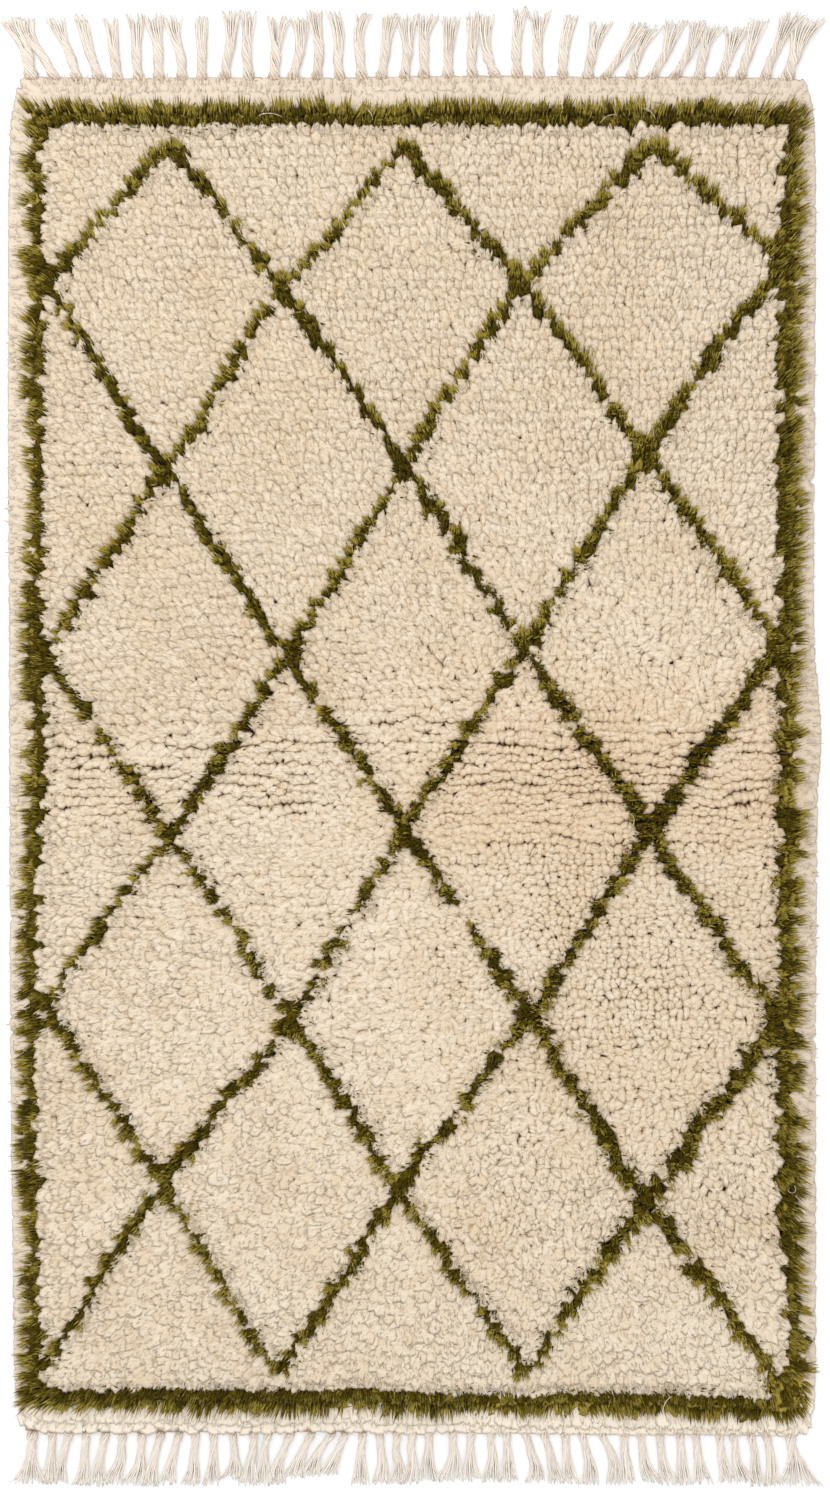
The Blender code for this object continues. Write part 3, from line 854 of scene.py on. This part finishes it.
# a knot whose tips lie out over the cream pile into the light is painted lighter, the others
# are painted darker as they keep to the shade; those at the right are painted lighter still,
# as painted light, and those of the trellis on the left a little darker
draw = default_rng(330)
in_olive = ~in_cream
light = meets_cream(seen_x[in_olive], seen_y[in_olive], heading[in_olive], 0.010)
light = np.where(light, 0.86, 0.30) + 0.14 * at_right[in_olive]
light = light - 0.12 * (on_line & (x < 0.10))[in_olive]
tone[in_olive] = np.clip(light + draw.normal(0, 0.20, len(light)), 0, 1)
# the olive roots are lower, and their colour is painted darker, as painted shade under the ends above
# them
olive_pieces = [pressed("olive_roots", low_nub, chosen(knots, in_olive), crowd, 331, 0.82)]
olive_yarn = knots._replace(length=length * (1 + longer), tip=tip + 0.4 * longer)
for n, (name, which, ends, gain, half) in enumerate((
    # its knots, the ends of a knot, how much longer the lighter ends are, half the width of one
    ("olive_border", on_border, 12, 0.36, 0.00108),
    ("olive_trellis", on_line, 8, 0.22, 0.00125),
)):
    spikes = opened(chosen(olive_yarn, which), ends, 0.0030, 0.10, 300 + n)
    # where the pile stands, the olive ends splay out along their row, more of them to the left
    count = len(spikes.x)
    upright = np.clip(1 - spikes.tip / 0.9, 0, 1)
    splay = np.where(draw.uniform(0, 1, count) < 0.6, math.pi, 0) + draw.normal(0, 0.25, count)
    stretch = 1.12 + 0.06 * upright + gain * spikes.tone
    longest = np.interp(spikes.tip, (0.9, 1.2), (0.0265, 0.0400))
    spikes = spikes._replace(
        heading=np.where(draw.uniform(0, 1, count) < 0.9 * upright, splay, spikes.heading),
        length=np.minimum(spikes.length * stretch, longest),
        tip=np.maximum(spikes.tip, draw.normal(0.60, 0.18, count)),
    )
    olive_pieces.append(planted(name, strand, spikes, half, 310 + n))
for piece in olive_pieces:
    finish_piece(piece, olive_wool, "olive_pile", "rug")


# ---------------------------------------------------------------- the fringes
# The warps themselves, off-white wool left long past the last row of knots. At the top end they
# are gathered, knotted against the cloth and twisted for most of their length. At the bottom
# end only a short stem is twisted. Past the twist the strands hang loose and spread.

# Each tassel by its root, its bend, its tip and the width it spreads to, counted across the rug
# in steps of 1.125 mm with 413 at the middle line, and by how far out its tip lies. A second
# tip follows where a tassel has parted in two. These are the places of the CAD tassels, but the
# second one is bent a little further here, onto the first.
STEP, MIDDLE_LINE = 0.001125, 413
TOP_TASSELS = (
    # root, bend, tip, out, width
    (29, 23, 11, 60, 22), (50, 36, 20, 60, 16), (74, 66, 53, 60, 14), (96, 88, 78, 65, 10),
    (116, 113, 103, 61, 7, 115), (137, 135, 135, 66, 13), (158, 156, 153, 66, 15),
    (181, 178, 169, 63, 15), (201, 201, 201, 63, 10), (225, 228, 233, 67, 14),
    (248, 247, 246, 68, 12), (274, 276, 269, 62, 13, 286), (294, 300, 299, 62, 12),
    (317, 318, 314, 69, 12), (339, 337, 335, 68, 10), (361, 359, 365, 65, 10),
    (382, 386, 391, 65, 13), (405, 407, 408, 64, 17), (424, 424, 427, 63, 18),
    (448, 449, 451, 60, 13), (472, 472, 475, 64, 11), (493, 486, 487, 62, 11),
    (517, 517, 522, 70, 10), (539, 538, 540, 67, 18), (563, 565, 572, 62, 10),
    (589, 594, 594, 56, 14, 609), (610, 625, 642, 55, 12), (633, 640, 655, 53, 14),
    (656, 668, 676, 58, 17), (679, 691, 699, 57, 12), (701, 705, 715, 53, 20),
    (724, 731, 738, 51, 16), (743, 751, 760, 60, 15), (768, 778, 797, 66, 18),
    (790, 798, 812, 61, 26),
)
BOTTOM_TASSELS = (
    (31, 30, 27, 50, 24), (51, 50, 46, 50, 12), (66, 62, 58, 49, 12), (85, 84, 79, 51, 11),
    (103, 100, 96, 51, 13), (121, 119, 112, 50, 13), (141, 140, 131, 50, 17),
    (158, 154, 148, 51, 12), (176, 172, 167, 50, 12), (195, 194, 188, 51, 13),
    (213, 213, 210, 51, 13), (233, 234, 230, 45, 16), (253, 252, 246, 51, 14),
    (266, 263, 261, 51, 14), (287, 281, 276, 50, 13), (307, 301, 294, 44, 14),
    (326, 318, 310, 42, 14), (342, 337, 325, 40, 16), (362, 361, 359, 51, 12),
    (380, 381, 381, 50, 12), (397, 397, 395, 50, 12), (412, 411, 411, 51, 13),
    (429, 429, 428, 48, 12), (453, 453, 450, 49, 18), (471, 470, 475, 50, 15),
    (491, 491, 494, 50, 13), (507, 508, 509, 49, 13), (528, 533, 534, 50, 13),
    (546, 551, 556, 50, 11), (566, 567, 571, 50, 12), (584, 588, 589, 51, 13),
    (605, 612, 615, 51, 11), (625, 626, 629, 50, 9), (642, 644, 654, 49, 14),
    (661, 663, 669, 51, 14), (681, 682, 685, 51, 12), (697, 699, 704, 50, 14),
    (721, 723, 728, 49, 12), (735, 738, 744, 49, 13), (753, 756, 759, 52, 11),
    (769, 772, 773, 51, 10), (792, 795, 803, 51, 30),
)
# Each fringe by its end of the rug and the way out there, by where along a tassel its bend and
# its opening lie, by the turns of its twist, by half its width and height, and by how pale it is.
Fringe = namedtuple("Fringe", "end way bend tassels opening turns half high pale")
FRINGE_TOP = Fringe(BODY_TOP, 1, 0.43, TOP_TASSELS, 0.52, 1.4, 0.0046, 0.0025, -0.02)
# the bottom fringe is painted paler, as painted light, where the pile's edge and its own close strands
# shade it
FRINGE_BOTTOM = Fringe(BODY_BOTTOM, -1, 0.33, BOTTOM_TASSELS, 0.36, 1.2, 0.0035, 0.0022, 0.3)
STRANDS = 14
CUFF = 0.0063  # how much of a tassel's foot is tied and stays straight


def curved(start, middle, stop, bend, along):
    """A place on the smooth curve from start to stop that passes middle at the share bend."""
    first = (along - bend) * (along - 1) / bend
    second = along * (along - 1) / (bend * (bend - 1))
    third = along * (along - bend) / (1 - bend)
    return start * first + middle * second + stop * third


def end_wave(x):
    """How far each end of the cloth strays from straight, at a place across it."""
    return 0.0012 * math.sin(9.0 * x + 0.6) + 0.0006 * math.sin(23.0 * x)


def tassel_paths(fringe, tassel, corner, rings, draw):
    """Paths of the strands of one tassel: wound round its middle, then loose out to its tip."""
    root, bend, tip, out, width, *second = tassel
    reach, count = out * STEP, round(STRANDS * (1.4 if corner else 1))
    ends = 1.03 - 0.14 * draw.uniform(0, 1, (count, 1)) ** 2
    along = -0.08 + (ends + 0.08) * np.linspace(0, 1, rings)
    opening = fringe.opening + draw.uniform(-0.12, 0.08)
    loose = ramp(along, opening, 1 - opening) ** 1.4
    start = np.sort(draw.uniform(0, 2 * math.pi, 1) + 2 * math.pi * np.arange(count) / count)[:, None]
    turn = start + 2 * math.pi * fringe.turns * np.clip(along, -0.1, opening) + 1.2 * loose
    round_it = start + 2 * math.pi * fringe.turns * opening
    spread = np.argsort(np.argsort(np.cos(round_it[:, 0]))) / (count - 1) * 2 - 1
    share = np.clip((along * reach - CUFF) / (reach - CUFF), -0.2, 1)
    places = [(place - MIDDLE_LINE) * STEP for place in (root, bend, tip, *second)]
    sway = draw.normal(0, 0.0011) * np.sin(share * 5.5 + draw.uniform(0, 6))
    middle = curved(*places[:3], fringe.bend, share) + sway * np.clip(share * 3, 0, 1)
    if second:
        other = curved(places[0], places[1], places[3], fringe.bend, share)
        middle = np.where(spread[:, None] > 0, other, middle)
        spread = np.where(spread > 0, spread * 2 - 1, spread * 2 + 1)
        width = width / 2
    wide = fringe.half * (1.35 if corner else 1) * (1 - 0.20 * np.exp(-((along - 0.16) / 0.07) ** 2))
    wide = wide * (1 + 0.25 * np.exp(-((along - 0.04) / 0.045) ** 2))
    wave = 0.0007 * np.sin(along * draw.uniform(8, 16, (count, 1)) + draw.uniform(0, 6, (count, 1)))
    lies = spread[:, None] * width * STEP * 0.78 + wave * loose
    lies = lies + draw.normal(0, 0.0009, (count, 1)) * loose
    x = middle + wide * np.cos(turn) * (1 - loose) + lies * loose
    height = fringe.high * (1.25 if corner else 1) * np.clip(1 + along * 9, 0.35, 1)
    z = 0.0013 + height * (1 + np.sin(turn)) * (1 - loose) + draw.uniform(0, 0.0016, (count, 1)) * loose
    y = fringe.end + end_wave(places[0]) + fringe.way * along * (reach - 0.0004)
    return np.stack([x, y, z], axis=-1)


yarn_wool, surface, thread = wool("fringe yarn", 0.9, 0.2)
up, tone, place, fibres = yarn_values(thread)
ply = ((fibres.axis("X") + fibres.axis("Y") * 9.0) * math.pi).wave()
fibre = fibres.stretched((9, 16, 1)).noise(1.0, 3.0)
fleece = place.noise(420.0, 2.0)
tied = 1 - up.between(0.06, 0.17)
# the twist is painted with light on its crests and shade in its grooves; the tied foot is mottled
# darker, and the yarn is lighter towards its loose end
light = ply * 0.35 + fibre * 0.5 + tone * 0.6 - tied * (fleece.between(0.4, 0.6) * 0.5 + 0.05) - 0.28
light = light + up * 0.25
colour = light.coloured(
    (0.0, (0.56, 0.40, 0.27, 1)),
    (0.4, (0.80, 0.71, 0.61, 1)),
    (1.0, (0.93, 0.86, 0.77, 1)),
)
cover(surface, colour, ply * 0.8 + fibre * 0.5 + fleece * 0.4, 0.6, 0.0005)


def fringed(name, fringe, rings, half, seed):
    """One fringe: every strand of every tassel, thinner towards its loose end."""
    draw = default_rng(seed)
    taper = [1.0 - 0.25 * max(0, n / (rings - 1) - 0.50) / 0.50 for n in range(rings - 1)] + [0]
    yarn = pulled_up(3, [(n / (rings - 1), wide) for n, wide in enumerate(taper)])
    last = len(fringe.tassels) - 1
    paths = np.concatenate([
        tassel_paths(fringe, tassel, n in (0, last), rings, draw)
        for n, tassel in enumerate(fringe.tassels)
    ])
    side = np.cross((0, 0, 1), np.gradient(paths, axis=1))
    tone = fringe.pale + draw.uniform(0, 0.4, len(paths)) + 0.6 * (np.arange(len(paths)) % 2)
    piece = strung(name, yarn, paths, side, half * draw.normal(1, 0.12, len(paths)), tone, seed)
    finish_piece(piece, yarn_wool, "fringe_yarn", name.replace("yarns_", "fringe_"))
    return piece


top_yarns = fringed("yarns_top", FRINGE_TOP, 17, 0.00142, 71)
bottom_yarns = fringed("yarns_bottom", FRINGE_BOTTOM, 15, 0.00130, 72)

# single pale fibres that lie loose over the pile: where, how long, which way and how curled
STRAYS = (
    # x, y, length, heading in degrees, turn in degrees
    (-0.352, 0.715, 0.018, 120, 80), (-0.170, 0.710, 0.022, 75, -60),
    (-0.146, 0.706, 0.030, 150, 50), (0.086, 0.716, 0.020, 100, 70), (0.210, 0.700, 0.024, 60, -70),
    (0.272, 0.704, 0.022, 110, 60), (0.360, 0.708, 0.018, 80, -50), (-0.045, 0.703, 0.020, 95, 60),
    (-0.043, 0.320, 0.022, 20, 120), (0.420, -0.495, 0.020, 250, 260),
    (0.290, -0.728, 0.024, 200, 80), (0.120, 0.316, 0.016, 300, 90),
    (-0.250, 0.100, 0.018, 160, -90), (0.245, -0.090, 0.018, 40, 100),
    (-0.300, -0.480, 0.016, 190, 70), (0.030, -0.705, 0.018, 240, -80),
)
paths = []
for x, y, long, way, turn in STRAYS:
    ways = np.radians(way + turn * np.linspace(0, 1, 9))
    steps = np.stack([np.cos(ways), np.sin(ways)], axis=1) * long / 8
    path = np.concatenate([[(0, 0)], np.cumsum(steps[1:], axis=0)]) + (x, y)
    paths.append(np.column_stack([path, 0.0215 + 0.0030 * np.sin(np.linspace(0, math.pi, 9))]))
paths = np.array(paths)
hair = pulled_up(3, [(n / 8, 1.0 if n < 8 else 0) for n in range(9)])
side = np.cross((0, 0, 1), np.gradient(paths, axis=1))
count = len(paths)
half, tone = np.full(count, 0.00055), np.full(count, 0.7)
strays = strung("stray_fibres", hair, paths, side, half, tone, 73, 0.8)
finish_piece(strays, cream_wool, "cream_pile", "rug")


# ---------------------------------------------------------------- the room
# A white floor under soft light from all round, with a broad lamp above the top left.

bpy.ops.mesh.primitive_plane_add(size=14, location=(0, 0, -0.0004))
floor = bpy.context.object
floor.name = "floor"
white, _ = painted("white floor", {
    "Base Color": (0.60, 0.60, 0.60, 1),
    "Emission Color": (1, 1, 1, 1),
    "Emission Strength": 0.35,
    "Roughness": 0.8,
    "Specular IOR Level": 0.1,
})
floor.data.materials.append(white)

world = bpy.data.worlds.new("soft light")
world.use_nodes = True
background = world.node_tree.nodes["Background"]
background.inputs["Color"].default_value = (1, 1, 1, 1)
background.inputs["Strength"].default_value = 0.92
bpy.context.scene.world = world

for name, (x, y, z), size, watts in (
    ("key lamp", (-1.3, 1.4, 2.9), 2.2, 52),
    ("fill lamp", (1.8, -1.2, 3.0), 2.5, 15),
):
    light = bpy.data.lights.new(name, "AREA")
    light.shape, light.size, light.energy = "SQUARE", size, watts
    lamp = placed(name, light)
    lamp.location = (x, y, z)
    # it shines on the middle of the rug
    lamp.rotation_euler = (math.atan2(math.hypot(x, y), z), 0, math.atan2(-y, -x) - math.pi / 2)

camera = placed("camera", bpy.data.cameras.new("camera"))
# straight above, where the long side of the picture spans 1.6875 m at the height of the pile
camera.location = (0.00225, -0.003375, 0.012 + 2.8125)
camera.data.lens = 60
camera.data.sensor_width = 36
bpy.context.scene.camera = camera
bpy.context.scene.view_settings.view_transform = "Standard"
